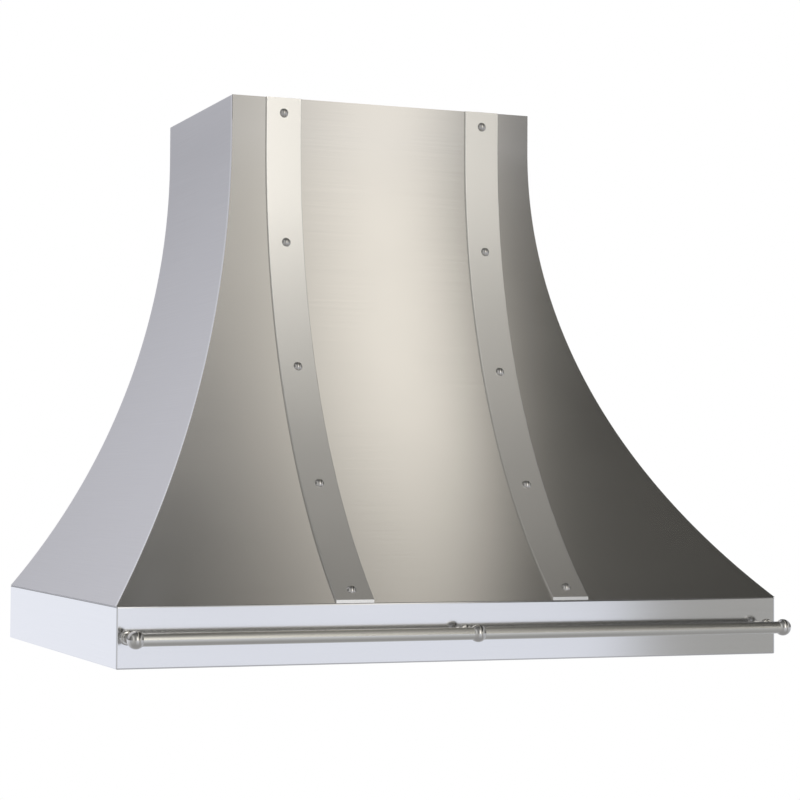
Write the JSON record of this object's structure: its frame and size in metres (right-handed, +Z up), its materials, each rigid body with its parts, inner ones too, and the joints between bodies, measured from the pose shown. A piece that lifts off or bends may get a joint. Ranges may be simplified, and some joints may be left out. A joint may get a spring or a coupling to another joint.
{
  "type": "wall mount range hood",
  "caption": "Wall mount canopy range hood with concave brushed steel panels, riveted straps, a ball-post utensil rail, baffle filters and an inner blower.",
  "frame": {"origin": "middle of the back panel's lower edge, on the wall plane", "axes": "+Y into the wall, +X to the right seen from the front, +Z up"},
  "size_m": [0.9144, 0.6626, 0.762],
  "materials": {
    "panel_steel": "satin",
    "inner_steel": "satin",
    "strap_steel": "satin",
    "rivet_metal": "polished",
    "rail_nickel": "polished",
    "zinc_steel": "satin",
    "shaft_steel": "satin",
    "motor_black": "satin",
    "filter_steel": "satin",
    "knob_steel": "satin",
    "catch_black": "matte",
    "lens_glass": "matte",
    "bulb_glass": "polished",
    "socket_ceramic": "matte"
  },
  "bodies": {
    "hood": {"front_panel": "panel_steel", "left_side_panel": "panel_steel", "right_side_panel": "panel_steel", "apron": "panel_steel", "back_panel": "inner_steel", "top_panel": "inner_steel", "liner": "inner_steel", "filter_hangers": "inner_steel", "strap_left": "strap_steel", "strap_right": "strap_steel", "strap_rivets_left": "rivet_metal", "strap_rivets_right": "rivet_metal", "rail_tube": "rail_nickel", "rail_post_left": "rail_nickel", "rail_post_center": "rail_nickel", "rail_post_right": "rail_nickel", "rail_nuts": "zinc_steel", "collar_screws": "zinc_steel", "wiring_box": "zinc_steel", "wiring_cover": "zinc_steel", "wiring_screws": "zinc_steel", "duct_collar": "zinc_steel", "collar_flange": "zinc_steel", "outlet_plenum": "zinc_steel", "blower_housing_left": "zinc_steel", "blower_housing_right": "zinc_steel", "motor_bracket": "zinc_steel", "damper_rod": "zinc_steel", "lamp_cans": "zinc_steel", "blower_motor": "motor_black", "lamp_bezels": "knob_steel", "filter_catches": "catch_black", "fan_switch": "catch_black", "light_switch": "catch_black", "lamp_lenses": "lens_glass", "lamp_bulbs": "bulb_glass", "lamp_sockets": "socket_ceramic"},
    "rotor": {"motor_shaft": "shaft_steel", "blower_wheel_left": "zinc_steel", "blower_wheel_right": "zinc_steel"},
    "damper_left": {"damper_flap_left": "zinc_steel"},
    "damper_right": {"damper_flap_right": "zinc_steel"},
    "fan_control": {"fan_knob": "knob_steel", "fan_shaft": "shaft_steel"},
    "light_control": {"light_knob": "knob_steel", "light_shaft": "shaft_steel"},
    "filter_left": {"filter_frame_left": "filter_steel", "filter_baffles_left": "filter_steel", "filter_pulls_left": "knob_steel"},
    "filter_center": {"filter_frame_center": "filter_steel", "filter_baffles_center": "filter_steel", "filter_pulls_center": "knob_steel"},
    "filter_right": {"filter_frame_right": "filter_steel", "filter_baffles_right": "filter_steel", "filter_pulls_right": "knob_steel"}
  },
  "joints": [
    {"name": "blower_spin", "type": "hinge", "parent": "hood", "child": "rotor", "pos_m": [0, -0.156, 0.545], "axis": [1, 0, 0], "continuous": true},
    {"name": "damper_left_swing", "type": "hinge", "parent": "hood", "child": "damper_left", "pos_m": [0, -0.156, 0.7135], "axis": [0, 1, 0], "range_deg": [0, 80]},
    {"name": "damper_right_swing", "type": "hinge", "parent": "hood", "child": "damper_right", "pos_m": [0, -0.156, 0.7135], "axis": [0, -1, 0], "range_deg": [0, 80]},
    {"name": "fan_knob_turn", "type": "hinge", "parent": "hood", "child": "fan_control", "pos_m": [-0.055, -0.54, 0.047], "axis": [0, 0, 1], "range_deg": [0, 270]},
    {"name": "light_knob_turn", "type": "hinge", "parent": "hood", "child": "light_control", "pos_m": [0.055, -0.54, 0.047], "axis": [0, 0, 1], "range_deg": [0, 270]},
    {"name": "filter_left_swing", "type": "hinge", "parent": "hood", "child": "filter_left", "pos_m": [-0.284, -0.056, 0.058], "axis": [1, 0, 0], "range_deg": [0, 70]},
    {"name": "filter_center_swing", "type": "hinge", "parent": "hood", "child": "filter_center", "pos_m": [0, -0.056, 0.058], "axis": [1, 0, 0], "range_deg": [0, 70]},
    {"name": "filter_right_swing", "type": "hinge", "parent": "hood", "child": "filter_right", "pos_m": [0.284, -0.056, 0.058], "axis": [1, 0, 0], "range_deg": [0, 70]}
  ]
}
